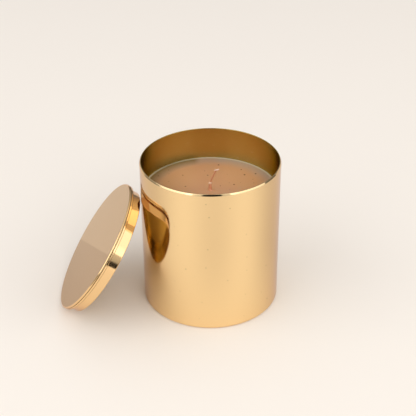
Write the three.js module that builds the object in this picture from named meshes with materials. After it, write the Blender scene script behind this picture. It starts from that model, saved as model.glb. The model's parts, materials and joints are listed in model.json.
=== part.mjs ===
// Candle tin with its lid leaning against it.
// Millimetres, +Z up. The origin is the centre of the tin's base on the table.
// The lid leans on the tin from the -X side and stands on the table on its collar's edge.
import * as THREE from 'three';

// Tin: a one-piece seamless cup
const tinRadius = 40;
const tinHeight = 89;
const tinWall = 1.0;
const tinFloor = 1.2;
const heelRadius = 1.6;

// Wax, filled into the cup up to some way below the rim
const waxBelowRim = 19.3;
const waxShrinkGap = 0.1;
const waxMouldGap = 0.15;

// Wick and what holds it down inside the wax
const wickRadius = 0.6;
const wickAboveWax = 12.5;
const wickKneeAboveWax = 4;
const wickLean = 3.4;
const wickGap = 0.15;
const stickerRadius = 10;
const stickerThickness = 1.0;
const sustainerRadius = 10;
const sustainerSheet = 0.4;
const neckHeight = 6;
const neckWall = 0.4;

// Lid: a top panel with a curled edge, and a collar that drops into the tin's mouth
const lidOverhang = 0.3;
const lidEdgeHeight = 2.5;
const lidSheet = 0.8;
const curlRadius = 0.4;
const collarDepth = 5.45;
const collarClearance = 0.3;
const collarWall = 0.8;
const collarFlange = 4;
const collarToEdgeGap = 0.3;
const collarToPanelGap = 0.3;

// How the lid leans: tilt of its top face's normal above the table, and its place along Y
const leanTilt = THREE.MathUtils.degToRad(33.5);
const leanSideStep = -4;
const leanGap = 0.3;

// Facets round a turn
const wideSegments = 72;
const narrowSegments = 40;
const wickSides = 10;
const wickStep = 2.5;

// Sizes that follow from the ones above
const tinInnerRadius = tinRadius - tinWall;
const waxTop = tinHeight - waxBelowRim;
const waxRadius = tinInnerRadius - waxShrinkGap;
const stickerTop = tinFloor + stickerThickness;
const sustainerTop = stickerTop + sustainerSheet;
const neckTop = sustainerTop + neckHeight;
const neckInnerRadius = wickRadius + wickGap;
const neckOuterRadius = neckInnerRadius + neckWall;
const lidRadius = tinRadius + lidOverhang;
const collarRadius = tinInnerRadius - collarClearance;
const collarBottom = lidEdgeHeight + collarDepth;
const edgeInnerRadius = collarRadius + collarToEdgeGap;
const collarTop = lidSheet + collarToPanelGap;

function material(name, hex, roughness, metalness) {
  return new THREE.MeshStandardMaterial({ name, color: new THREE.Color(hex), roughness, metalness });
}

const goldOutside = material('gold_lacquered_aluminium', '#e9bd83', 0.28, 1);
const goldLid = material('satin_gold_lacquered_aluminium', '#cfab84', 0.4, 1);
const waxTan = material('tan_soy_wax', '#c08d66', 0.45, 0);
const wickBrown = material('waxed_cotton_braid', '#8a4f38', 0.7, 0);
const zincedSteel = material('zinc_plated_steel', '#b9b9b6', 0.35, 1);
const foamWhite = material('foam_adhesive', '#e8e6e0', 0.9, 0);

// Points of a round corner: centre, radius and the two angles in degrees
function corner(r, z, radius, fromDegrees, toDegrees, steps) {
  const points = [];
  for (let i = 0; i <= steps; i += 1) {
    const angle = THREE.MathUtils.degToRad(fromDegrees + (toDegrees - fromDegrees) * i / steps);
    points.push([r + radius * Math.cos(angle), z + radius * Math.sin(angle)]);
  }
  return points;
}

// A body of revolution about +Z from an outline of [radius, height] points
function turned(name, outline, segments, look) {
  const points = outline.map(([r, z]) => new THREE.Vector2(Math.max(r, 0), z));
  const geometry = new THREE.LatheGeometry(points, segments);
  geometry.rotateX(Math.PI / 2);
  const mesh = new THREE.Mesh(geometry, look);
  mesh.name = name;
  return mesh;
}

function closed(outline) {
  return [...outline, outline[0]];
}

// The cup: flat base, rounded heel, straight wall and a rounded rim
function vessel() {
  const rim = tinWall / 2;
  const innerHeel = Math.max(heelRadius - tinWall, 0.2);
  return turned('vessel', [
    [0, 0],
    ...corner(tinRadius - heelRadius, heelRadius, heelRadius, -90, 0, 4),
    ...corner(tinRadius - rim, tinHeight - rim, rim, 0, 180, 6),
    ...corner(tinInnerRadius - innerHeel, tinFloor + innerHeel, innerHeel, 0, -90, 2),
    [0, tinFloor],
  ], wideSegments, goldOutside);
}

// The wax block, moulded round the sticker, the sustainer's neck and the wick
function waxFill() {
  const heel = Math.max(heelRadius - tinWall, 0.2) + waxShrinkGap;
  const discRadius = Math.max(stickerRadius, sustainerRadius) + waxMouldGap;
  const discTop = sustainerTop + waxMouldGap;
  const neckRadius = neckOuterRadius + waxMouldGap;
  const neckRoof = neckTop + waxMouldGap;
  const channelRadius = wickRadius + wickGap;
  return turned('wax_fill', closed([
    [discRadius, tinFloor],
    [waxRadius - heel, tinFloor],
    [waxRadius, tinFloor + heel],
    [waxRadius, waxTop],
    [channelRadius, waxTop],
    [channelRadius, neckRoof],
    [neckRadius, neckRoof],
    [neckRadius, discTop],
    [discRadius, discTop],
  ]), wideSegments, waxTan);
}

// The cotton wick: straight inside the wax and up to its knee, then bent over to +X
function wick() {
  const tallest = waxTop + wickAboveWax;
  const foot = new THREE.Vector3(0, 0, stickerTop);
  const knee = new THREE.Vector3(0, 0, waxTop + wickKneeAboveWax);
  const bend = new THREE.Vector3(0, 0, knee.z + (tallest - knee.z) / 4);
  const tip = new THREE.Vector3(wickLean, 0, tallest);
  const path = new THREE.CurvePath();
  path.add(new THREE.LineCurve3(foot, knee));
  path.add(new THREE.QuadraticBezierCurve3(knee, bend, tip));
  const section = new THREE.Shape();
  section.absarc(0, 0, wickRadius, 0, Math.PI * 2);
  const geometry = new THREE.ExtrudeGeometry(section, {
    steps: Math.ceil((tip.z - foot.z) / wickStep),
    curveSegments: wickSides / 2,
    extrudePath: path,
  });
  const mesh = new THREE.Mesh(geometry, wickBrown);
  mesh.name = 'wick';
  return mesh;
}

// The sheet-metal tab with its crimped neck, which holds the wick upright
function wickSustainer() {
  return turned('wick_sustainer', closed([
    [neckInnerRadius, stickerTop],
    [sustainerRadius, stickerTop],
    [sustainerRadius, sustainerTop],
    [neckOuterRadius, sustainerTop],
    [neckOuterRadius, neckTop],
    [neckInnerRadius, neckTop],
  ]), narrowSegments, zincedSteel);
}

// The double-sided foam dot that holds the sustainer to the tin's floor
function wickSticker() {
  return turned('wick_sticker', [
    [0, tinFloor],
    [stickerRadius, tinFloor],
    [stickerRadius, stickerTop],
    [0, stickerTop],
  ], narrowSegments, foamWhite);
}

// The lid's top panel, whose edge is curled down. Its top face is at height 0.
function lidPlate() {
  return turned('lid_plate', [
    [0, -lidSheet],
    [edgeInnerRadius, -lidSheet],
    ...corner(edgeInnerRadius + curlRadius, -lidEdgeHeight + curlRadius, curlRadius, 180, 270, 2),
    ...corner(lidRadius - curlRadius, -lidEdgeHeight + curlRadius, curlRadius, -90, 0, 3),
    ...corner(lidRadius - curlRadius, -curlRadius, curlRadius, 0, 90, 3),
    [0, 0],
  ], wideSegments, goldLid);
}

// The collar: an inward flange fixed under the panel and a skirt with a rounded lower edge
function lidCollar() {
  const edge = collarWall / 2;
  const innerRadius = collarRadius - collarWall;
  return turned('lid_collar', closed([
    [innerRadius - collarFlange, -collarTop],
    [innerRadius - collarFlange, -collarTop - collarWall],
    [innerRadius, -collarTop - collarWall],
    ...corner(collarRadius - edge, -collarBottom + edge, edge, 180, 360, 4),
    [collarRadius, -collarTop],
  ]), wideSegments, goldOutside);
}

// The lid's rounded outer edges: radius and depth of each rounding's centre, and its own radius
const lidEdges = [
  [lidRadius - curlRadius, curlRadius, curlRadius],
  [lidRadius - curlRadius, lidEdgeHeight - curlRadius, curlRadius],
  [collarRadius - collarWall / 2, collarBottom - collarWall / 2, collarWall / 2],
];

// Height of the top face's centre when the lid's lowest edge touches the table
function leanHeight() {
  const reach = lidEdges.map(([radius, depth, rounding]) => (
    radius * Math.cos(leanTilt) + depth * Math.sin(leanTilt) + rounding
  ));
  return Math.max(...reach);
}

// Distance of the top face's centre from the tin's axis when an upper edge meets the wall
function leanDistance() {
  let distance = 0;
  for (const [radius, depth, rounding] of lidEdges) {
    for (let degrees = -90; degrees <= 90; degrees += 0.25) {
      const angle = THREE.MathUtils.degToRad(degrees);
      const y = leanSideStep + radius * Math.sin(angle);
      if (Math.abs(y) > tinRadius) {
        continue;
      }
      const x = depth * Math.cos(leanTilt) + radius * Math.cos(angle) * Math.sin(leanTilt);
      distance = Math.max(distance, x + rounding + Math.sqrt(tinRadius ** 2 - y ** 2));
    }
  }
  return distance + leanGap;
}

const candleTin = new THREE.Group();
candleTin.add(vessel(), waxFill(), wick(), wickSustainer(), wickSticker());

const lid = new THREE.Group();
lid.add(lidPlate(), lidCollar());
lid.rotation.y = leanTilt - Math.PI / 2;
lid.position.set(-leanDistance(), leanSideStep, leanHeight());
candleTin.add(lid);

export default candleTin;
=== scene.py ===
"""Candle tin: the looks of a gold metal candle tin whose lid leans against it."""
import json
import math

import bpy
from bpy.props import FloatProperty, FloatVectorProperty, IntProperty, PointerProperty
from mathutils import Matrix, Vector, noise


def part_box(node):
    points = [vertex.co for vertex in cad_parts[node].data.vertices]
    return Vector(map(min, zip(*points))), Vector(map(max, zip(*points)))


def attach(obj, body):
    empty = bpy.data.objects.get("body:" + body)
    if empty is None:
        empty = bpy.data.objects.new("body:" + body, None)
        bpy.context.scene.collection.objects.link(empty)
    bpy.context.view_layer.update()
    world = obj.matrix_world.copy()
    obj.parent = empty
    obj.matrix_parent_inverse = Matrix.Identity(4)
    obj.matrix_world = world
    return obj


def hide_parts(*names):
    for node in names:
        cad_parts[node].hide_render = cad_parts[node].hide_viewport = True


bl_info = {
    "name": "Candle Tin",
    "version": (1, 0, 0),
    "blender": (4, 5, 0),
    "location": "3D View > Sidebar > Candle Tin",
    "description": "Builds a lacquered metal candle tin, its wax, its wick and its leaning lid",
    "category": "Object",
}

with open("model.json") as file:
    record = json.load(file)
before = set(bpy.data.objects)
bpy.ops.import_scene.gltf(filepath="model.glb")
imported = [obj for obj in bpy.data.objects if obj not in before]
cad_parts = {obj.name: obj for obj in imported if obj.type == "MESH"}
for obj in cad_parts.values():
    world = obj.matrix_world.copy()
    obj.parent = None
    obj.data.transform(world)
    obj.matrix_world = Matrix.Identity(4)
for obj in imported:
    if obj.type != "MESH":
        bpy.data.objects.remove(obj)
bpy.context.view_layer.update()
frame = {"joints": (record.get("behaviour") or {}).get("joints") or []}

MM = 0.001
HAIR = 0.01 * MM  # too short to be seen
TINY = 1e-9  # points closer than this are one point
TIN_LOW, TIN_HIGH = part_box("vessel")
WAX_LOW, WAX_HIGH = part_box("wax_fill")
WICK_LOW, WICK_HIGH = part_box("wick")
TAB_LOW, TAB_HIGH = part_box("wick_sustainer")
DOT_LOW, DOT_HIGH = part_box("wick_sticker")
PANEL_LOW, PANEL_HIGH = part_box("lid_plate")
LID_JOINT = frame["joints"][0]


def linear(code):
    """An sRGB hex colour such as #FFCC88 as linear red, green and blue."""
    channels = [int(code[i:i + 2], 16) / 255 for i in (1, 3, 5)]
    return tuple(c / 12.92 if c <= 0.04045 else ((c + 0.055) / 1.055) ** 2.4 for c in channels)


def length(name, default, description):
    """A property for a length in metres."""
    return FloatProperty(name=name, description=description, default=default, unit="LENGTH", precision=5)


def colour(name, code, description):
    """A property for a colour, whose default is an sRGB hex code."""
    return FloatVectorProperty(name=name, description=description, default=linear(code), subtype="COLOR")


class TinSizes(bpy.types.PropertyGroup):
    """Sizes of the candle tin that the frame doesn't give, in metres"""
    wall: length("Wall", 1.0 * MM, "Thickness of the tin's wall")
    floor: length("Floor", 1.2 * MM, "Thickness of the tin's floor")
    heel: length("Heel", 1.6 * MM, "Outside radius between the wall and the base")
    panel_edge: length("Panel edge", 2.5 * MM, "Height of the lid panel's curled edge")
    panel_sheet: length("Panel sheet", 0.8 * MM, "Thickness of the lid panel's sheet")
    panel_round: length("Panel rounding", 0.85 * MM, "Rounding of the panel's top edge")
    curl_round: length("Curl rounding", 0.4 * MM, "Rounding of the curled edge's lower lip")
    lid_overhang: length("Lid overhang", 0.3 * MM, "How far the lid panel stands out past the tin's wall")
    seam_depth: length("Seam depth", 0.2 * MM, "Depth of the pressed seam round the curled edge")
    collar_depth: length("Collar depth", 5.45 * MM, "How far the collar stands below the curled edge")
    collar_wall: length("Collar wall", 0.8 * MM, "Thickness of the collar")
    collar_flange: length("Collar flange", 4.0 * MM, "Width of the collar's flange under the panel")
    collar_clearance: length("Collar clearance", 0.3 * MM, "Gap between the collar and the tin's mouth")
    small_gap: length("Small gap", 0.3 * MM, "Gap between the collar and the panel")
    meniscus: length("Meniscus", 0.2 * MM, "How far the wax climbs the wall")
    settle: length("Settle", 0.35 * MM, "How far the wax has sunk below its fill line")
    knee: length("Knee", 4.0 * MM, "Height above the wax where the wick starts to bend over")
    strand: length("Strand", 0.27 * MM, "Radius of one strand of the wick's braid")
    facets: IntProperty(name="Facets", description="Facets round a turned piece", default=288, min=24)


class TinColours(bpy.types.PropertyGroup):
    """Colours of the candle tin's finishes"""
    gold: colour("Gold lacquer", "#FBDCA7", "Gold lacquer on the outside of the tin and the collar")
    inner_gold: colour("Inner lacquer", "#C6AB60", "Thinner, duller lacquer inside the tin and the lid")
    ring_gold: colour("Ring lacquer", "#F4CE98", "Gold lacquer on the lid's edge and its collar")
    # Dark brown in the lid's seam, and painted shade along the lower lip of the lid's curled edge
    seam_and_shade_gold: colour("Seam lacquer", "#7C5828", "Lacquer set thick in the lid's seams")
    # Painted light: a paler copy of the inner lacquer that offsets the shade under the lid
    lid_lit_gold: colour("Lid lining", "#E4C57C", "Pale lacquer on the lid's underside")
    panel_gold: colour("Panel lacquer", "#CEAC80", "Satin lacquer on the lid's panel")
    scuff: colour("Scuff", "#F3E9D4", "Lacquer rubbed pale inside the tin")
    wax: colour("Wax", "#CA966D", "Body colour of the wax")
    wax_edge: colour("Wax edge", "#B29B8B", "Thin wax along the wall")
    # Painted shade on the wax, towards the -X and -Y sides
    wax_painted_shade: colour("Slow wax", "#936C4E", "Wax that set slower, towards the -X and -Y sides")
    wax_film: colour("Wax film", "#CFC3A6", "Film of wax left on the wall")
    pit: colour("Pit", "#4E3826", "Small open bubbles in the wax")
    set_wax: colour("Set wax", "#DC9C78", "Thin wax set on the wick's foot")
    set_bead: colour("Set bead", "#E4BEA2", "Bead of thicker wax at the wick's knee")
    wick: colour("Waxed wick", "#C47A52", "Wax-soaked cotton")
    wick_light: colour("Light fibre", "#D8A07C", "Lighter fibres in the wax-soaked cotton")
    cotton: colour("Cut cotton", "#FFE4D2", "Cut end of the wick")
    cotton_shade: colour("Cotton shade", "#F0C6AC", "Darker fibres in the cut end")
    zinc: colour("Zinc", "#B8B9B8", "Zinc plating")
    foam: colour("Foam", "#ECEAE4", "Foam of the adhesive dot")
    floor: colour("Floor", "#F5EDE4", "Plain floor")


# Sizes worked out from the frame and the settings

def tin_radius():
    return TIN_HIGH.x


def tin_bore(sizes):
    return tin_radius() - sizes.wall


def collar_radius(sizes):
    return tin_bore(sizes) - sizes.collar_clearance


def lid_tilt():
    """Height of the lid's outward normal above the table, from how far its hinge lets it turn."""
    return math.radians(LID_JOINT["range_deg"][1] - 90)


def lid_place(sizes):
    """The lid's own frame: its origin is the centre of the top face and +Z points out of it."""
    turn = Matrix.Rotation(lid_tilt() - math.pi / 2, 4, "Y")
    middle = (PANEL_LOW + PANEL_HIGH) / 2
    return Matrix.Translation(middle) @ turn @ Matrix.Translation((0, 0, sizes.panel_edge / 2))


# Mesh making

def arc(r, z, radius, start, end, steps=8):
    """Outline points round a centre, from one angle to another in degrees."""
    angles = [math.radians(start + (end - start) * i / steps) for i in range(steps + 1)]
    return [(r + radius * math.cos(a), z + radius * math.sin(a)) for a in angles]


def eased(outline, guard=0.12 * MM, longest=4 * MM):
    """The outline with extra points near the ends of long edges, which keep the shading crisp there."""
    points = [outline[0]]
    for start, end in zip(outline, outline[1:]):
        run = math.dist(start, end)
        stops = []
        if run > 6 * guard:  # too short an edge has no room for the guards
            pieces = max(1, math.ceil(run / longest))
            stops = [guard / run] + [i / pieces for i in range(1, pieces)] + [1 - guard / run]
        for t in stops:
            points.append((start[0] + (end[0] - start[0]) * t, start[1] + (end[1] - start[1]) * t))
        points.append(end)
    return points


def new_piece(name, vertices, faces, materials, face_material=None, place=None):
    """A smooth mesh object made of the given vertices and faces."""
    mesh = bpy.data.meshes.new(name)
    mesh.from_pydata(vertices, [], faces)
    for material in materials:
        mesh.materials.append(material)
    if face_material:
        mesh.polygons.foreach_set("material_index", face_material)
    mesh.polygons.foreach_set("use_smooth", [True] * len(mesh.polygons))
    mesh.validate()
    piece = bpy.data.objects.new(name, mesh)
    piece.matrix_world = place or Matrix.Identity(4)
    bpy.context.scene.collection.objects.link(piece)
    return piece


def turned(name, outline, facets, materials, material_of=None, place=None, shift=None):
    """A body of revolution about Z. The outline of (radius, height) starts and ends on the axis or closes.

    material_of(r, z) picks a material, and shift(r, z, angle) returns the moved radius and height."""
    closed = math.dist(outline[0], outline[-1]) < TINY
    points = eased(outline)
    if closed:
        points = points[:-1]
    vertices, rows, faces, kinds = [], [], [], []
    for r, z in points:
        on_axis = r < TINY
        row = []
        for i in range(1 if on_axis else facets):
            angle = 2 * math.pi * i / facets
            radius, height = shift(r, z, angle) if shift else (r, z)
            row.append(len(vertices))
            vertices.append((radius * math.cos(angle), radius * math.sin(angle), height))
        rows.append(row if not on_axis else row * facets)
    pairs = list(zip(range(len(points)), range(1, len(points))))
    if closed:
        pairs.append((len(points) - 1, 0))
    for a, b in pairs:
        middle = ((points[a][0] + points[b][0]) / 2, (points[a][1] + points[b][1]) / 2)
        kind = material_of(*middle) if material_of else 0
        for i in range(facets):
            j = (i + 1) % facets
            corners = [rows[a][i], rows[a][j], rows[b][j], rows[b][i]]
            faces.append(list(dict.fromkeys(corners)))
            kinds.append(kind)
    return new_piece(name, vertices, faces, materials, kinds, place)


def swept(path, radius_at, sides, first):
    """Vertices and faces of a round tube with closed ends along a list of points.

    radius_at(t) gives its radius from t = 0 to 1, and first is the number of its first vertex."""
    vertices, faces = [], []
    side = Vector((0, 1, 0))
    for i, point in enumerate(path):
        ahead = path[min(i + 1, len(path) - 1)] - path[max(i - 1, 0)]
        along = ahead.normalized()
        side = (side - along * side.dot(along)).normalized()
        across = along.cross(side)
        radius = radius_at(i / (len(path) - 1))
        for k in range(sides):
            angle = 2 * math.pi * k / sides
            vertices.append(point + (side * math.cos(angle) + across * math.sin(angle)) * radius)
    for i in range(len(path) - 1):
        for k in range(sides):
            j = (k + 1) % sides
            low, high = first + i * sides, first + (i + 1) * sides
            faces.append([low + k, low + j, high + j, high + k])
    last = first + (len(path) - 1) * sides
    faces.append([first + k for k in reversed(range(sides))])
    faces.append([last + k for k in range(sides)])
    return vertices, faces


# Materials

SMOOTH = {"interpolation_type": "SMOOTHSTEP"}
TIMES = {"operation": "MULTIPLY"}
PLUS = {"operation": "ADD", "use_clamp": True}
ACROSS = {"operation": "DOT_PRODUCT"}
COLOURS = {"data_type": "RGBA"}

# Share of the red, green and blue light kept where painted reflection or shade darkens a colour (the first
# three), or on a dust speck (the last two)
PAINTED_REFLECTION_SHADE = (0.70, 0.67, 0.68)
PANEL_PAINTED_SHADE = (0.65, 0.54, 0.38)
WAX_PAINTED_SHADE = (0.33, 0.38, 0.25)
DUST = (0.2, 0.2, 0.2)
PANEL_DUST = (0.3, 0.3, 0.3)


def fill(tree, node, **inputs):
    """Sets or links a node's inputs. A name has _ for a space, and n0 means the first input.

    A node given as a value is linked by its first output in use."""
    for name, value in inputs.items():
        numbered = name[0] == "n" and name[1:].isdigit()
        socket = node.inputs[int(name[1:])] if numbered else node.inputs[name.replace("_", " ")]
        if isinstance(value, bpy.types.Node):
            value = next(output for output in value.outputs if output.enabled)
        if isinstance(value, bpy.types.NodeSocket):
            tree.links.new(value, socket)
        else:
            socket.default_value = value


def add(tree, kind, settings=None, **inputs):
    """Adds a node with its settings and its inputs."""
    made = tree.nodes.new(kind)
    for name, value in (settings or {}).items():
        setattr(made, name, value)
    fill(tree, made, **inputs)
    return made


def new_material(name):
    """An empty material: its tree, its shader and its object coordinates in metres."""
    material = bpy.data.materials.new(name)
    material.use_nodes = True
    tree = material.node_tree
    shader = tree.nodes["Principled BSDF"]
    place = add(tree, "ShaderNodeTexCoord").outputs["Object"]
    return material, tree, shader, place


def rgba(values, share=(1, 1, 1)):
    """A colour with full alpha, with a share of each channel."""
    return (*(value * part for value, part in zip(values, share)), 1)


def from_axis(tree, place):
    """Distance from the piece's Z axis, in metres."""
    flat = add(tree, "ShaderNodeVectorMath", TIMES, n0=place, n1=(1, 1, 0))
    return add(tree, "ShaderNodeVectorMath", {"operation": "LENGTH"}, n0=flat)


def around(tree, place, radius):
    """Coordinates that run round a turned piece: along the turn, its height and its radius, in metres."""
    parts = add(tree, "ShaderNodeSeparateXYZ", Vector=place).outputs
    angle = add(tree, "ShaderNodeMath", {"operation": "ARCTAN2"}, n0=parts["Y"], n1=parts["X"])
    run = add(tree, "ShaderNodeMath", TIMES, n0=angle, n1=radius)
    return add(tree, "ShaderNodeCombineXYZ", X=run, Y=parts["Z"], Z=from_axis(tree, place))


def specks(tree, place, spacing, widest, depth, bare=0.0):
    """Scattered round specks: depth on a speck and 0 between them.

    Each cell of the spacing holds one of its own size, up to widest as a share of the spacing, except
    for the bare share of the cells."""
    cells = add(tree, "ShaderNodeTexVoronoi", {"voronoi_dimensions": "2D"}, Vector=place, Scale=1 / spacing)
    pick = add(tree, "ShaderNodeSeparateColor", Color=cells.outputs["Color"])
    size = add(tree, "ShaderNodeMapRange", Value=pick.outputs["Red"], From_Min=bare, From_Max=1.0,
               To_Min=0.0, To_Max=widest)
    inside = add(tree, "ShaderNodeMath", {"operation": "LESS_THAN"}, n0=cells.outputs["Distance"], n1=size)
    return add(tree, "ShaderNodeMath", TIMES, n0=inside, n1=depth)


def lacquer_with_painted_reflections(tree, place, turn, tint, bands, sides):
    """The lacquer's colour with painted reflections of shade: darker in soft bands round the turn, most of
    all near the top of the tin, and darker towards the -X and +X sides."""
    band_count = 7
    run = add(tree, "ShaderNodeSeparateXYZ", Vector=turn).outputs["X"]
    phase = add(tree, "ShaderNodeMath", TIMES, n0=run, n1=band_count / tin_radius())
    wave = add(tree, "ShaderNodeMath", {"operation": "SINE"}, n0=phase)
    band = add(tree, "ShaderNodeMapRange", Value=wave, From_Min=-1.0, From_Max=1.0,
               To_Min=0.0, To_Max=bands)
    parts = add(tree, "ShaderNodeSeparateXYZ", Vector=place).outputs
    rise = add(tree, "ShaderNodeMapRange", SMOOTH, Value=parts["Z"], From_Min=0.0, From_Max=60 * MM,
               To_Min=0.15, To_Max=1.0)
    faded = add(tree, "ShaderNodeMath", TIMES, n0=band, n1=rise)
    # Painted shade: darker towards the -X and +X sides
    square = add(tree, "ShaderNodeMath", TIMES, n0=parts["X"], n1=parts["X"])
    thick = add(tree, "ShaderNodeMath", TIMES, n0=square, n1=sides / tin_radius() ** 2)
    amount = add(tree, "ShaderNodeMath", PLUS, n0=faded, n1=thick)
    return add(tree, "ShaderNodeMix", COLOURS, n0=amount, n6=rgba(tint), n7=rgba(tint, PAINTED_REFLECTION_SHADE))


def scuffed(tree, turn, coat, scuff_tint, wear):
    """The lacquer's colour with short pale scuffs along the turn, about 3.5 mm by 1.4 mm."""
    rub = add(tree, "ShaderNodeVectorMath", TIMES,
              n0=turn, n1=(1 / (3.5 * MM), 1 / (1.4 * MM), 1 / (1.4 * MM)))
    marks = add(tree, "ShaderNodeTexNoise", Vector=rub, Scale=1.0, Detail=4.0, Roughness=0.7)
    scuff = add(tree, "ShaderNodeMapRange", Value=marks, From_Min=0.6, From_Max=0.68,
                To_Min=0.0, To_Max=wear)
    return add(tree, "ShaderNodeMix", COLOURS, n0=scuff, n6=coat, n7=rgba(scuff_tint))


def lacquered_aluminium(name, tint, edge_tint, roughness, grain, bump, bands=0.0, sides=0.0,
                        scuff_tint=None, wear=0.0):
    """Aluminium spun to shape, polished and gold lacquered.

    The rollers leave very fine lines round the turn, and the lacquer has the odd dust speck. Painted
    reflections can darken it in broad soft bands round the turn and towards the -X and +X sides. The real
    lines are about 0.05 mm apart, too fine to show, so grain draws them coarser.
    Wear rubs pale scuffs into the lacquer."""
    material, tree, shader, place = new_material(name)
    turn = around(tree, place, tin_radius())
    fine = add(tree, "ShaderNodeVectorMath", TIMES, n0=turn, n1=(0.05 / grain, 1 / grain, 1 / grain))
    lines = add(tree, "ShaderNodeTexNoise", Vector=fine, Scale=1.0, Detail=3.0, Roughness=0.6)
    relief = add(tree, "ShaderNodeBump", Strength=bump, Distance=0.01 * MM, Height=lines)
    cloud = add(tree, "ShaderNodeTexNoise", Vector=place, Scale=1 / (16 * MM), Detail=2.0)
    rough = add(tree, "ShaderNodeMapRange", Value=cloud, From_Min=0.3, From_Max=0.7,
                To_Min=roughness * 0.94, To_Max=roughness * 1.06)
    dust = specks(tree, turn, spacing=13 * MM, widest=0.032, depth=0.4)
    # Painted reflections of shade: darker bands round the turn and darker sides
    coat = lacquer_with_painted_reflections(tree, place, turn, tint, bands, sides)
    coat = add(tree, "ShaderNodeMix", COLOURS, n0=dust, n6=coat, n7=rgba(tint, DUST))
    if wear:
        coat = scuffed(tree, turn, coat, scuff_tint, wear)
    fill(tree, shader, Base_Color=coat, Metallic=1, Roughness=rough, Normal=relief,
         Specular_Tint=rgba(edge_tint))
    return material


def polished_gold(name, tint, bands=0.0, sides=0.0):
    """Polished gold-lacquered aluminium, spun: mirror-like with a faint haze, greyer at a low angle."""
    return lacquered_aluminium(name, tint, edge_tint=(0.78, 0.72, 0.76), roughness=0.085,
                               grain=0.25 * MM, bump=0.02, bands=bands, sides=sides)


def seam_lacquer_and_shade(colours):
    """Dark brown, half gloss gold lacquer in the lid's seam, and painted shade along the curl's lower lip by
    the gap to the collar.
    """
    return lacquered_aluminium("seam_and_shade_gold_lacquer", colours.seam_and_shade_gold, edge_tint=(0.4, 0.25, 0.12),
                               roughness=0.3, grain=0.25 * MM, bump=0.02)


def satin_gold(colours):
    """Satin gold-lacquered aluminium, as spun: a soft brown-gold glow, fine lines and a few pale scuffs."""
    return lacquered_aluminium("satin_gold_lacquered_aluminium", colours.inner_gold,
                               edge_tint=(0.15, 0.08, 0.04), roughness=0.25, grain=0.5 * MM, bump=0.2,
                               scuff_tint=colours.scuff, wear=0.22)


def lit_satin_lid_gold(colours):
    """The lid's underside: the same satin finish in a paler colour, painted light that offsets the shade
    under the lid.
    """
    return lacquered_aluminium("satin_gold_lacquered_aluminium_lit", colours.lid_lit_gold,
                               edge_tint=(0.5, 0.38, 0.2), roughness=0.22, grain=0.5 * MM, bump=0.2)


def brushed_panel_gold(colours):
    """Gold-lacquered aluminium sheet with a straight rolled grain: satin, with the odd dust speck and a
    painted reflection: a diagonal edge with a darker side, which grows darker across the panel towards that
    side.

    The real grain is finer than shows, so it is drawn about 0.6 mm wide and very weak."""
    material, tree, shader, place = new_material("rolled_gold_lacquered_sheet")
    gold = colours.panel_gold
    grain = add(tree, "ShaderNodeVectorMath", TIMES,
                n0=place, n1=(1 / (30 * MM), 1 / (0.6 * MM), 1 / (5 * MM)))
    lines = add(tree, "ShaderNodeTexNoise", Vector=grain, Scale=1.0, Detail=3.0, Roughness=0.5)
    rough = add(tree, "ShaderNodeMapRange", Value=lines, From_Min=0.3, From_Max=0.7,
                To_Min=0.23, To_Max=0.26)
    relief = add(tree, "ShaderNodeBump", Strength=0.01, Distance=0.01 * MM, Height=lines)
    # Painted reflection: a diagonal edge with a darker side, darkening further across the panel
    sweep = add(tree, "ShaderNodeVectorMath", ACROSS, n0=place, n1=(0.867, 0.499, 0))
    reflected_edge = add(tree, "ShaderNodeMapRange", SMOOTH, Value=sweep,
               From_Min=-1.6 * MM, From_Max=-0.5 * MM, To_Min=0.5, To_Max=0.0)
    reflected_shade = add(tree, "ShaderNodeMapRange", Value=sweep,
               From_Min=-42 * MM, From_Max=42 * MM, To_Min=0.28, To_Max=0.0)
    cloud = add(tree, "ShaderNodeTexNoise", Vector=place, Scale=1 / (12 * MM), Detail=2.0)
    patch = add(tree, "ShaderNodeMapRange", Value=cloud, From_Min=0.3, From_Max=0.7,
                To_Min=-0.03, To_Max=0.03)
    tone = add(tree, "ShaderNodeMath", PLUS, n0=reflected_edge, n1=reflected_shade)
    amount = add(tree, "ShaderNodeMath", PLUS, n0=tone, n1=patch)
    coat = add(tree, "ShaderNodeMix", COLOURS, n0=amount, n6=rgba(gold), n7=rgba(gold, PANEL_PAINTED_SHADE))
    dust = specks(tree, place, spacing=19 * MM, widest=0.045, depth=0.5)
    coat = add(tree, "ShaderNodeMix", COLOURS, n0=dust, n6=coat, n7=rgba(gold, PANEL_DUST))
    fill(tree, shader, Base_Color=coat, Metallic=1, Roughness=rough, Normal=relief)
    return material


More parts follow.
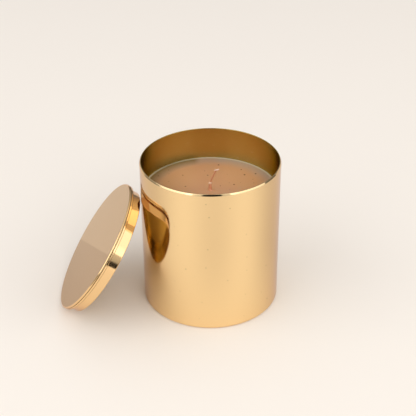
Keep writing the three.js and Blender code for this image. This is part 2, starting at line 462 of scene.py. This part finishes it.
def poured_wax(colours):
    """Poured soy and paraffin wax: softly translucent, half matt, paler and greyer along the wall.

    Painted shade darkens it towards the -X and -Y sides, and in a dark arc along the wall on the -X side. A
    film of it stands on the wall, and small bubbles have opened in it, larger ones towards the wall."""
    material, tree, shader, place = new_material("poured_tan_wax")
    bore = WAX_HIGH.x
    reach = from_axis(tree, place)
    edge = add(tree, "ShaderNodeMapRange", SMOOTH, Value=reach,
               From_Min=bore - 11 * MM, From_Max=bore - 0.5 * MM, To_Min=0.0, To_Max=1.0)
    mottle = add(tree, "ShaderNodeTexNoise", Vector=place, Scale=1 / (9 * MM), Detail=3.0)
    patch = add(tree, "ShaderNodeMapRange", Value=mottle, From_Min=0.3, From_Max=0.7,
                To_Min=0.75, To_Max=1.1)
    pale = add(tree, "ShaderNodeMath", TIMES, n0=edge, n1=patch)
    # Painted shade: darker towards the -X and -Y sides
    aside = add(tree, "ShaderNodeVectorMath", ACROSS, n0=place, n1=(-0.85, -0.5, 0))
    side_shade = add(tree, "ShaderNodeMapRange", SMOOTH, Value=aside,
               From_Min=0.0, From_Max=bore * 0.9, To_Min=0.0, To_Max=0.65)
    # Painted shade: a dark arc on the wax along the wall on the -X side
    left = add(tree, "ShaderNodeSeparateXYZ", Vector=place).outputs["X"]
    side = add(tree, "ShaderNodeMapRange", Value=left, From_Min=-8 * MM, From_Max=-4 * MM,
               To_Min=1.0, To_Max=0.0)
    clear = add(tree, "ShaderNodeMapRange", Value=reach,
                From_Min=bore - 8.5 * MM, From_Max=bore - 0.8 * MM, To_Min=0.0, To_Max=side)
    film = add(tree, "ShaderNodeMapRange", SMOOTH, Value=reach,
               From_Min=bore - 1.5 * MM, From_Max=bore - 0.4 * MM, To_Min=0.0, To_Max=0.85)
    widest = add(tree, "ShaderNodeMapRange", Value=reach, From_Min=bore * 0.2, From_Max=bore,
                 To_Min=0.06, To_Max=0.10)
    pits = specks(tree, place, spacing=7 * MM, widest=widest, depth=0.85, bare=0.35)
    layers = (
        (pale, rgba(colours.wax_edge)),
        (side_shade, rgba(colours.wax_painted_shade)),
        (clear, rgba(colours.wax, WAX_PAINTED_SHADE)),
        (film, rgba(colours.wax_film)),
        (pits, rgba(colours.pit)),
    )
    body = rgba(colours.wax)
    for share, tint in layers:
        body = add(tree, "ShaderNodeMix", COLOURS, n0=share, n6=body, n7=tint)
    relief = add(tree, "ShaderNodeBump", Strength=0.25, Distance=0.05 * MM, Height=mottle)
    fill(tree, shader, Base_Color=body, Roughness=0.24, Normal=relief, IOR=1.44, Specular_IOR_Level=0.35,
         Subsurface_Weight=0.35, Subsurface_Radius=(1.0, 0.55, 0.35), Subsurface_Scale=1.2 * MM)
    return material


def soaked_wax(colours):
    """Thin wax set on the wick's foot: half clear, so the red-brown cotton shows through, and glossy."""
    material, tree, shader, place = new_material("set_wax_on_cotton")
    lumps = add(tree, "ShaderNodeTexNoise", Vector=place, Scale=1 / (0.8 * MM), Detail=2.0)
    height = add(tree, "ShaderNodeSeparateXYZ", Vector=place).outputs["Z"]
    bead = add(tree, "ShaderNodeMapRange", SMOOTH, Value=height,
               From_Min=3.4 * MM, From_Max=4.0 * MM, To_Min=0.0, To_Max=1.0)
    mixed = add(tree, "ShaderNodeMix", COLOURS, n0=bead, n6=rgba(colours.set_wax), n7=rgba(colours.set_bead))
    relief = add(tree, "ShaderNodeBump", Strength=0.3, Distance=0.05 * MM, Height=lumps)
    fill(tree, shader, Base_Color=mixed, Roughness=0.3, Normal=relief,
         Subsurface_Weight=0.3, Subsurface_Radius=(1.0, 0.5, 0.3), Subsurface_Scale=0.5 * MM)
    return material


def waxed_cotton(colours):
    """Cotton braid soaked with wax: reddish brown, with a dull gloss on each strand."""
    material, tree, shader, place = new_material("waxed_cotton_braid")
    fibre = add(tree, "ShaderNodeTexNoise", Vector=place, Scale=1 / (0.35 * MM), Detail=3.0)
    tone = add(tree, "ShaderNodeMapRange", Value=fibre, From_Min=0.3, From_Max=0.7,
               To_Min=0.0, To_Max=0.6)
    mixed = add(tree, "ShaderNodeMix", COLOURS, n0=tone, n6=rgba(colours.wick), n7=rgba(colours.wick_light))
    relief = add(tree, "ShaderNodeBump", Strength=0.3, Distance=0.05 * MM, Height=fibre)
    fill(tree, shader, Base_Color=mixed, Roughness=0.45, Normal=relief)
    return material


def cut_cotton(colours):
    """Freshly cut cotton fibres: pale, matt and slightly fuzzy."""
    material, tree, shader, place = new_material("cut_cotton_fibre")
    fibre = add(tree, "ShaderNodeTexNoise", Vector=place, Scale=1 / (0.3 * MM), Detail=2.0)
    mixed = add(tree, "ShaderNodeMix", COLOURS, n0=fibre,
                n6=rgba(colours.cotton), n7=rgba(colours.cotton_shade))
    fill(tree, shader, Base_Color=mixed, Roughness=0.8, Sheen_Weight=0.3)
    return material


def zinc_plate(colours):
    """Zinc-plated steel sheet, pressed: pale grey with a faint spangle."""
    material, tree, shader, place = new_material("zinc_plated_steel")
    spangle = add(tree, "ShaderNodeTexVoronoi", Vector=place, Scale=1 / (1.5 * MM))
    rough = add(tree, "ShaderNodeMapRange", Value=spangle.outputs["Distance"], To_Min=0.28, To_Max=0.4)
    fill(tree, shader, Base_Color=rgba(colours.zinc), Metallic=1, Roughness=rough)
    return material


def adhesive_foam(colours):
    """Closed-cell foam tape: white, matt, with fine cells."""
    material, tree, shader, place = new_material("adhesive_foam")
    cells = add(tree, "ShaderNodeTexVoronoi", Vector=place, Scale=1 / (0.4 * MM))
    relief = add(tree, "ShaderNodeBump", Strength=0.4, Distance=0.1 * MM, Height=cells.outputs["Distance"])
    fill(tree, shader, Base_Color=rgba(colours.foam), Roughness=0.9, Normal=relief)
    return material


def plain_floor(colours):
    """Plain matt paper floor."""
    material, tree, shader, _ = new_material("plain_paper_floor")
    fill(tree, shader, Base_Color=rgba(colours.floor), Roughness=1, Specular_IOR_Level=0)
    return material


# Operators

def sizes_and_colours(context):
    """The sizes and the colours that the panel lists."""
    return context.scene.candle_tin_sizes, context.scene.candle_tin_colours


def from_front(turn, rise):
    """The direction out of the scene, turned from the front towards +X and raised, both in degrees."""
    a, b = math.radians(turn), math.radians(rise)
    return Vector((math.sin(a) * math.cos(b), -math.cos(a) * math.cos(b), math.sin(b)))


def join(piece, body, slot, *nodes):
    """The piece rides on a body and stands for the nodes, if there are any. Its slot is not used."""
    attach(piece, body)
    if nodes:
        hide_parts(*nodes)


class CANDLE_TIN_OT_cup(bpy.types.Operator):
    """Make the tin's seamless cup"""
    bl_idname = "candle_tin.cup"
    bl_label = "Tin Cup"

    def execute(self, context):
        sizes, colours = sizes_and_colours(context)
        wall, radius, top = sizes.wall, tin_radius(), TIN_HIGH.z
        bore, inner_heel = tin_bore(sizes), sizes.heel - wall
        # The rim is bevelled outside, and the bevel runs into a small round lip
        bevel_start, bevel_end, lip = top - 0.95 * wall, radius - 0.66 * wall, 0.27 * wall
        outline = [
            (0, 0),
            *arc(radius - sizes.heel, sizes.heel, sizes.heel, -90, 0, 12),
            (radius, bevel_start),
            *arc(bevel_end, top - lip, lip, 28, 90, 6),
            *arc(bore + lip, top - lip, lip, 90, 180, 8),
            *arc(bore - inner_heel, sizes.floor + inner_heel, inner_heel, 0, -90, 6),
            (0, sizes.floor),
        ]
        outside, inside = range(2)

        def finish(r, z):
            return inside if r < bore + wall / 4 and z > sizes.floor / 2 else outside

        looks = [
            # The tin's outside carries painted reflections of shade, in bands round it and towards its sides
            polished_gold("polished_gold_lacquered_tin", colours.gold, bands=0.48, sides=0.45),
            satin_gold(colours),
        ]
        cup = turned("tin_cup", outline, sizes.facets, looks, finish)
        join(cup, "tin", "tin_metal", "vessel")
        return {"FINISHED"}


class CANDLE_TIN_OT_wax(bpy.types.Operator):
    """Make the poured wax with its climbing edge"""
    bl_idname = "candle_tin.wax"
    bl_label = "Wax"

    def execute(self, context):
        sizes, colours = sizes_and_colours(context)
        radius, top, low = WAX_HIGH.x, WAX_HIGH.z, WAX_LOW.z
        gap, channel, chamfer = 0.15 * MM, 0.35 * MM, 0.7 * MM
        hollow, roof = TAB_HIGH.x + gap, TAB_HIGH.z + gap
        ring_count, crowding = 90, 0.8
        rings = [radius * (i / ring_count) ** crowding for i in range(ring_count, 0, -1)]
        surface = [(r, top) for r in rings if r > channel]
        outline = [
            (hollow, low), (radius - chamfer, low), (radius, low + chamfer),
            *surface, (channel, top), (channel, roof), (hollow, roof), (hollow, low),
        ]
        slack_middle, slack_half = 125, 28  # the stretch that has let go, in degrees from +X
        pull_in, pull_down = 0.6 * MM, 0.5 * MM
        dip, swell, crumbs = 0.25 * MM, 0.05 * MM, 0.18 * MM
        edge_reach, wick_climb, wick_reach = 0.55 * MM, 0.5 * MM, 0.8 * MM

        def gape(angle):
            """How far the wax has let go of the wall: 1 in the middle of the slack stretch, 0 off it."""
            off = min(abs(math.degrees(angle) - slack_middle) / slack_half, 1)
            return max(0.0, math.cos(off * math.pi / 2)) ** 0.5

        def shift(r, z, angle):
            if z < top - HAIR:
                return r, z
            spot = Vector((math.cos(angle), math.sin(angle), 0))
            climb = sizes.meniscus * (1 + 0.55 * noise.noise(spot * 2.2 + Vector((3, 0, 0))))
            climb += crumbs * noise.noise(spot * 14)
            climb -= pull_down * gape(angle)
            wave = swell * noise.noise(spot * (r / (12 * MM)) + Vector((0, 7, 0)))
            dish = -dip * (1 - (r / radius) ** 2)
            edge = math.exp(-(radius - r) / edge_reach)
            rise = climb * edge + wick_climb * math.exp(-r / wick_reach)
            return r - pull_in * gape(angle) * edge, z + rise + wave + dish - sizes.settle

        wax = turned("wax", outline, sizes.facets, [poured_wax(colours)], shift=shift)
        join(wax, "tin", "wax", "wax_fill")
        return {"FINISHED"}


class CANDLE_TIN_OT_wick(bpy.types.Operator):
    """Make the braided wick and its cut end"""
    bl_idname = "candle_tin.wick"
    bl_label = "Wick"

    def execute(self, context):
        sizes, colours = sizes_and_colours(context)
        top = WAX_HIGH.z
        knee = Vector((0, 0, top + sizes.knee))
        tip = Vector((WICK_HIGH.x - 0.5 * MM, 0, WICK_HIGH.z - 0.4 * MM))
        bend = knee.lerp(tip, 0.35) - Vector((0.45 * MM, 0, 0))

        def middle(t):
            """A point on the wick's centre line above its knee."""
            return knee.lerp(bend, t).lerp(bend.lerp(tip, t), t)

        foot = Vector((0, 0, WICK_LOW.z))
        below, above = 70, 40
        line = [foot.lerp(knee, i / below) for i in range(below)]
        line += [middle(i / above) for i in range(above + 1)]
        strands, twist, swing = 3, 0.55, sizes.strand * 0.85
        vertices, faces = [], []
        for strand in range(strands):
            path = []
            for i, point in enumerate(line):
                phase = i * twist + 2 * math.pi * strand / strands
                path.append(point + Vector((math.cos(phase), math.sin(2 * phase) * 0.6, 0)) * swing)
            more, skin = swept(path, lambda t: sizes.strand, 10, len(vertices))
            vertices += more
            faces += skin
        braid = new_piece("wick_braid", vertices, faces, [waxed_cotton(colours)])
        join(braid, "tin", "wick_cotton", "wick")
        self.make_tuft(tip, colours)
        self.make_coat(knee, top, colours)
        return {"FINISHED"}

    def make_tuft(self, tip, colours):
        """The cut fibres fray to both sides of the tip, and higher towards +X."""
        fibres, left, right = 44, -1.25 * MM, 1.45 * MM
        stray, thickness, steps = 0.35 * MM, 0.24 * MM, 6
        vertices, faces = [], []
        for i in range(fibres):
            seed = Vector((i * 1.7, 3.1, 0))
            reach = left + (right - left) * i / (fibres - 1)
            jitter = Vector((noise.noise(seed), noise.noise(seed + Vector((0, 5, 0))),
                             noise.noise(seed + Vector((9, 0, 0))))) * stray
            start = tip + Vector((reach * 0.2, 0, -0.5 * MM)) + jitter * 0.4
            end = tip + Vector((reach, 0, 0.3 * reach + 0.05 * MM)) + jitter
            crest = tip + Vector((reach * 0.6, 0, 0.15 * MM)) + jitter
            path = [start.lerp(crest, t / steps).lerp(crest.lerp(end, t / steps), t / steps)
                    for t in range(steps + 1)]
            more, skin = swept(path, lambda t: thickness * (1 - 0.25 * t), 6, len(vertices))
            vertices += more
            faces += skin
        tuft = new_piece("wick_cut_end", vertices, faces, [cut_cotton(colours)])
        join(tuft, "tin", "wick_cotton")

    def make_coat(self, knee, top, colours):
        """Wax that has climbed the wick's foot and set, with a bead of it at the knee."""
        height = knee.z - top
        outline = [
            (0, -1.1 * MM), (1.6 * MM, -1.0 * MM), (1.15 * MM, 0.05 * MM), (1.0 * MM, 0.6 * MM),
            (0.92 * MM, height * 0.5), (0.74 * MM, height * 0.85), (0.8 * MM, height),
            (0.7 * MM, height + 0.35 * MM), (0.45 * MM, height + 0.65 * MM), (0, height + 0.7 * MM),
        ]

        facets, bead, bead_height = 40, 0.45 * MM, 0.5 * MM

        def lumpy(r, z, angle):
            spot = Vector((math.cos(angle), math.sin(angle), z / (1.2 * MM)))
            facing = max(0, -math.cos(angle - 0.6))
            bulge = bead * math.exp(-((z - height) / bead_height) ** 2) * facing
            return r * (1 + 0.14 * noise.noise(spot * 1.3)) + (bulge if r > 0.1 * MM else 0), z

        coat = turned("wick_wax_coat", outline, facets, [soaked_wax(colours)],
                      place=Matrix.Translation((0, 0, top)), shift=lumpy)
        join(coat, "tin", "wax")


class CANDLE_TIN_OT_wick_holder(bpy.types.Operator):
    """Make the wick's sheet-metal tab and its foam dot, hidden under the wax"""
    bl_idname = "candle_tin.wick_holder"
    bl_label = "Wick Holder"

    def execute(self, context):
        _, colours = sizes_and_colours(context)
        facets = 96
        low, high, disc, face = TAB_LOW.z, TAB_HIGH.z, TAB_HIGH.x, TAB_LOW.z + 0.4 * MM
        bore, neck, fillet, chamfer = 0.95 * MM, 1.35 * MM, 0.3 * MM, 0.1 * MM
        outline = [
            (bore, low), (disc - chamfer, low), (disc, low + chamfer), (disc, face - chamfer),
            (disc - chamfer, face), *arc(neck + fillet, face + fillet, fillet, -90, -180, 6),
            (neck, high - chamfer), (neck - chamfer, high), (bore, high), (bore, low),
        ]
        tab = turned("wick_tab", outline, facets, [zinc_plate(colours)])
        join(tab, "tin", "sustainer_steel", "wick_sustainer")
        low, high, radius, bulge = DOT_LOW.z, DOT_HIGH.z, DOT_HIGH.x, 0.2 * MM
        outline = [
            (0, low), (radius - bulge, low), (radius, low + bulge),
            (radius, high - bulge), (radius - bulge, high), (0, high),
        ]
        dot = turned("adhesive_dot", outline, facets, [adhesive_foam(colours)])
        join(dot, "tin", "sticker_foam", "wick_sticker")
        return {"FINISHED"}


class CANDLE_TIN_OT_lid_panel(bpy.types.Operator):
    """Make the lid's top panel with its curled edge"""
    bl_idname = "candle_tin.lid_panel"
    bl_label = "Lid Panel"

    def execute(self, context):
        sizes, colours = sizes_and_colours(context)
        radius, edge = tin_radius() + sizes.lid_overhang, sizes.panel_edge
        curl, top_round = sizes.curl_round, sizes.panel_round
        inside, seam = collar_radius(sizes) + sizes.small_gap, sizes.seam_depth
        outline = [
            (0, -sizes.panel_sheet),
            (inside, -sizes.panel_sheet),
            *arc(inside + curl, -edge + curl, curl, 180, 270, 6),
            *arc(radius - curl, -edge + curl, curl, -90, 0, 8),
            *arc(radius, -top_round - seam, seam, 270, 90, 8),
            *arc(radius - top_round, -top_round, top_round, 0, 90, 10),
            (0, 0),
        ]
        face, band, underside, seam_and_lip_shade = range(4)

        def finish(r, z):
            in_seam = abs(z + top_round + seam) < 0.95 * seam and r < radius - HAIR
            if r < inside and z < -sizes.panel_sheet / 2:
                return underside
            # Dark brown in the seam, and painted shade on the curl's lower lip, by the gap to the collar
            if in_seam or z < -edge + 0.6 * curl:
                return seam_and_lip_shade
            return face if r < radius - top_round and z > -HAIR else band

        looks = [
            brushed_panel_gold(colours),
            polished_gold("polished_gold_lacquered_edge", colours.ring_gold),
            # The underside is painted lighter to offset the shade under the lid
            lit_satin_lid_gold(colours),
            seam_lacquer_and_shade(colours),
        ]
        panel = turned("lid_panel", outline, sizes.facets, looks, finish, lid_place(sizes))
        join(panel, "lid", "lid_metal", "lid_plate")
        return {"FINISHED"}


class CANDLE_TIN_OT_lid_ring(bpy.types.Operator):
    """Make the collar under the lid's panel"""
    bl_idname = "candle_tin.lid_ring"
    bl_label = "Lid Collar"

    def execute(self, context):
        sizes, colours = sizes_and_colours(context)
        outer, wall = collar_radius(sizes), sizes.collar_wall
        top = -sizes.panel_sheet - sizes.small_gap
        bottom = -sizes.panel_edge - sizes.collar_depth
        inner, edge, fillet = outer - wall, wall / 2, 0.3 * MM
        outline = [
            (inner - sizes.collar_flange, top),
            (inner - sizes.collar_flange, top - wall),
            *arc(inner - fillet, top - wall - fillet, fillet, 90, 0, 6),
            *arc(outer - edge, bottom + edge, edge, 180, 360, 16),
            *arc(outer - fillet, top - fillet, fillet, 0, 90, 6),
            (inner - sizes.collar_flange, top),
        ]

        outside, inside = range(2)

        def finish(r, z):
            return inside if r < outer - edge else outside

        # The collar's inside is painted lighter to offset the shade under the lid
        looks = [polished_gold("polished_gold_lacquered_ring", colours.ring_gold), lit_satin_lid_gold(colours)]
        ring = turned("lid_ring", outline, sizes.facets, looks, finish, lid_place(sizes))
        join(ring, "lid", "tin_metal", "lid_collar")
        return {"FINISHED"}


class CANDLE_TIN_OT_stage(bpy.types.Operator):
    """Make the floor, the soft lights and the camera"""
    bl_idname = "candle_tin.stage"
    bl_label = "Stage"

    def execute(self, context):
        scene = context.scene
        self.make_floor(scene.candle_tin_colours)
        self.make_sky(scene)
        self.make_light("left_softbox", turn=-64, rise=38, distance=1.9, size=(2.2, 1.6), radiance=1.1)
        self.make_light("right_softbox", turn=60, rise=29, distance=1.9, size=(2.05, 1.45), radiance=1.1)
        front = self.make_light("front_fill", turn=12, rise=36, distance=3.2, size=(2.2, 1.5), radiance=2.65)
        front.visible_glossy = False
        self.make_camera(scene)
        scene.view_settings.view_transform = "Standard"
        return {"FINISHED"}

    def make_floor(self, colours):
        half = 5.0  # metres
        corners = [(-half, -half, 0), (half, -half, 0), (half, half, 0), (-half, half, 0)]
        floor = new_piece("floor", corners, [(0, 1, 2, 3)], [plain_floor(colours)])
        floor.location.z = TIN_LOW.z

    def make_sky(self, scene):
        """A white studio tent, dimmer low down, and how the metal's mirror images show it."""
        world = bpy.data.worlds.new("studio")
        world.use_nodes = True
        scene.world = world
        tree = world.node_tree
        direction = add(tree, "ShaderNodeTexCoord").outputs["Generated"]
        way = add(tree, "ShaderNodeSeparateXYZ", Vector=direction).outputs
        level = add(tree, "ShaderNodeMapRange", Value=way["Z"], From_Min=0.0, From_Max=0.5,
                    To_Min=0.31, To_Max=0.685)
        path = add(tree, "ShaderNodeLightPath").outputs
        # A mirror image of a mirror image shows a plain bright tent
        twice = add(tree, "ShaderNodeMath", {"operation": "GREATER_THAN"}, n0=path["Glossy Depth"], n1=1.5)
        image = add(tree, "ShaderNodeMix", n0=twice, n2=self.draped_cloth(tree, way), n3=1.35)
        seen = add(tree, "ShaderNodeMix", n0=path["Is Glossy Ray"], n2=1.0, n3=image)
        glow = add(tree, "ShaderNodeMath", TIMES, n0=level, n1=seen)
        fill(tree, tree.nodes["Background"], Strength=glow, Color=(1, 1, 1, 1))

    def draped_cloth(self, tree, way):
        """How bright the tent is in a mirror image, for a direction out of the scene.

        It has a dark slit in the middle of its front, a dark skirt along the floor there, and is dimmer
        from the sides round to the back, and brighter towards -X and overhead."""
        front = add(tree, "ShaderNodeMath", TIMES, n0=way["Y"], n1=-1.0)
        turn = add(tree, "ShaderNodeMath", {"operation": "ARCTAN2"}, n0=way["X"], n1=front)
        aside = add(tree, "ShaderNodeMath", {"operation": "ABSOLUTE"}, n0=turn)
        hem = add(tree, "ShaderNodeMapRange", Value=aside, From_Min=math.radians(45),
                  From_Max=math.radians(60), To_Min=0.06, To_Max=1.0)
        cloth = add(tree, "ShaderNodeMapRange", Value=way["Z"], From_Min=0.1, From_Max=0.14,
                    To_Min=hem, To_Max=1.0)
        ramps = (
            (aside, math.radians(13), math.radians(18), 0.03, 1.3),  # the slit
            (aside, math.radians(36), math.radians(46), 1.0, 0.43),  # the sides and the back
            (way["X"], -0.7, -0.3, 1.7, 1.0),  # towards -X
            (way["Z"], 0.6, 0.82, 1.0, 1.9),  # overhead
        )
        for value, start, end, first, last in ramps:
            ramp = add(tree, "ShaderNodeMapRange", SMOOTH, Value=value, From_Min=start, From_Max=end,
                       To_Min=first, To_Max=last)
            cloth = add(tree, "ShaderNodeMath", TIMES, n0=cloth, n1=ramp)
        return cloth

    def make_light(self, name, turn, rise, distance, size, radiance):
        """A softbox facing the object, turned in degrees from the front towards +X and raised."""
        data = bpy.data.lights.new(name, "AREA")
        data.shape = "RECTANGLE"
        data.size, data.size_y = size
        data.energy = radiance * math.pi * size[0] * size[1]
        light = bpy.data.objects.new(name, data)
        away = from_front(turn, rise)
        light.location = away * distance
        light.rotation_euler = away.to_track_quat("Z", "Y").to_euler()
        light.visible_camera = False
        bpy.context.scene.collection.objects.link(light)
        return light

    def make_camera(self, scene):
        """The camera looks at a point a little left of the tin's axis, from the front and above."""
        data = bpy.data.cameras.new("camera")
        data.lens = 86.2
        data.sensor_width = 36
        camera = bpy.data.objects.new("camera", data)
        turn, rise, roll = -2.63, 31.06, math.radians(0.3)
        target, distance = Vector((-1.4, 0.1, 57.0)) * MM, 577.1 * MM
        back = from_front(turn, rise)
        right = Vector((math.cos(math.radians(turn)), math.sin(math.radians(turn)), 0))
        up = back.cross(right)
        tilted_right = right * math.cos(roll) - up * math.sin(roll)
        tilted_up = right * math.sin(roll) + up * math.cos(roll)
        axes = Matrix((tilted_right, tilted_up, back)).transposed().to_4x4()
        camera.matrix_world = Matrix.Translation(target + back * distance) @ axes
        scene.collection.objects.link(camera)
        scene.camera = camera


class CANDLE_TIN_PT_panel(bpy.types.Panel):
    """Lists the pieces, the sizes and the colours"""
    bl_idname = "CANDLE_TIN_PT_panel"
    bl_label = "Candle Tin"
    bl_space_type = "VIEW_3D"
    bl_region_type = "UI"
    bl_category = "Candle Tin"

    def draw(self, context):
        for maker in MAKERS:
            self.layout.operator(maker.bl_idname)
        for group in (context.scene.candle_tin_sizes, context.scene.candle_tin_colours):
            box = self.layout.box()
            for name in group.bl_rna.properties.keys():
                if name not in ("rna_type", "name"):
                    box.prop(group, name)


MAKERS = (
    CANDLE_TIN_OT_stage,
    CANDLE_TIN_OT_cup,
    CANDLE_TIN_OT_wax,
    CANDLE_TIN_OT_wick,
    CANDLE_TIN_OT_wick_holder,
    CANDLE_TIN_OT_lid_panel,
    CANDLE_TIN_OT_lid_ring,
)
CLASSES = (TinSizes, TinColours, *MAKERS, CANDLE_TIN_PT_panel)


def register():
    for cls in CLASSES:
        bpy.utils.register_class(cls)
    bpy.types.Scene.candle_tin_sizes = PointerProperty(type=TinSizes)
    bpy.types.Scene.candle_tin_colours = PointerProperty(type=TinColours)


def unregister():
    del bpy.types.Scene.candle_tin_colours
    del bpy.types.Scene.candle_tin_sizes
    for cls in reversed(CLASSES):
        bpy.utils.unregister_class(cls)


def main():
    register()
    for maker in MAKERS:
        group, name = maker.bl_idname.split(".")
        getattr(getattr(bpy.ops, group), name)()


if __name__ == "__main__":
    main()
